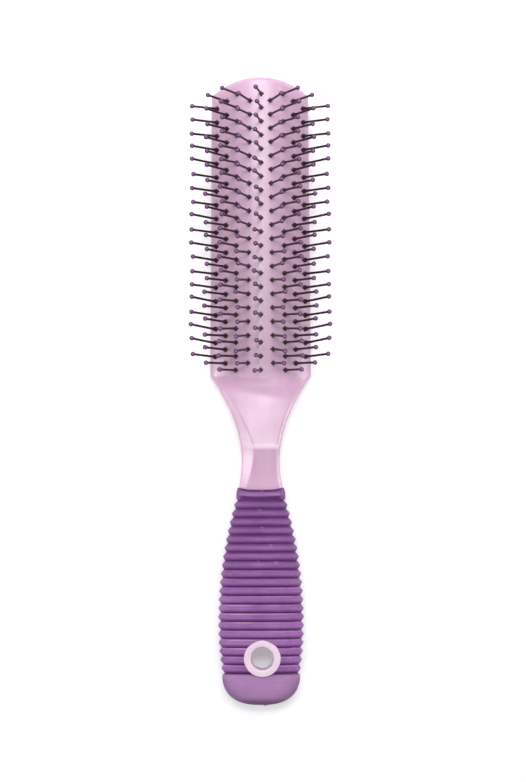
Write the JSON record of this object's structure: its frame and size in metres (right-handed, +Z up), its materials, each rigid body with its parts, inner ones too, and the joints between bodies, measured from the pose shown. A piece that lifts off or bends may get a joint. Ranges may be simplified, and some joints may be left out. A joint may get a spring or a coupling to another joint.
{
  "type": "styling hair brush",
  "caption": "Half-round styling hair brush with ball-tipped pins leaning outwards, a slim neck, a ribbed soft grip and a hanging eyelet.",
  "frame": {"origin": "centre of the brush's bounding box in plan, on the plane that it rests on", "axes": "+Y along the brush from the grip to the tip of the head, +Z up out of the pinned front, +X to the right when looking at the pins with the head away"},
  "size_m": [0.0496, 0.2222, 0.0275],
  "materials": {
    "lilac_plastic": "translucent lilac, satin gloss",
    "pin_nylon": "dark purple nylon, satin",
    "grip_rubber": "purple soft-touch rubber, matt",
    "eyelet_plastic": "pale lilac, satin gloss"
  },
  "bodies": {
    "root": {"body": "lilac_plastic", "back_cover": "lilac_plastic", "pin_strip_centre": "pin_nylon", "pin_strip_left_1": "pin_nylon", "pin_strip_left_2": "pin_nylon", "pin_strip_left_3": "pin_nylon", "pin_strip_left_4": "pin_nylon", "pin_strip_right_1": "pin_nylon", "pin_strip_right_2": "pin_nylon", "pin_strip_right_3": "pin_nylon", "pin_strip_right_4": "pin_nylon", "grip_sleeve": "grip_rubber", "hanging_eyelet": "eyelet_plastic"}
  },
  "joints": []
}
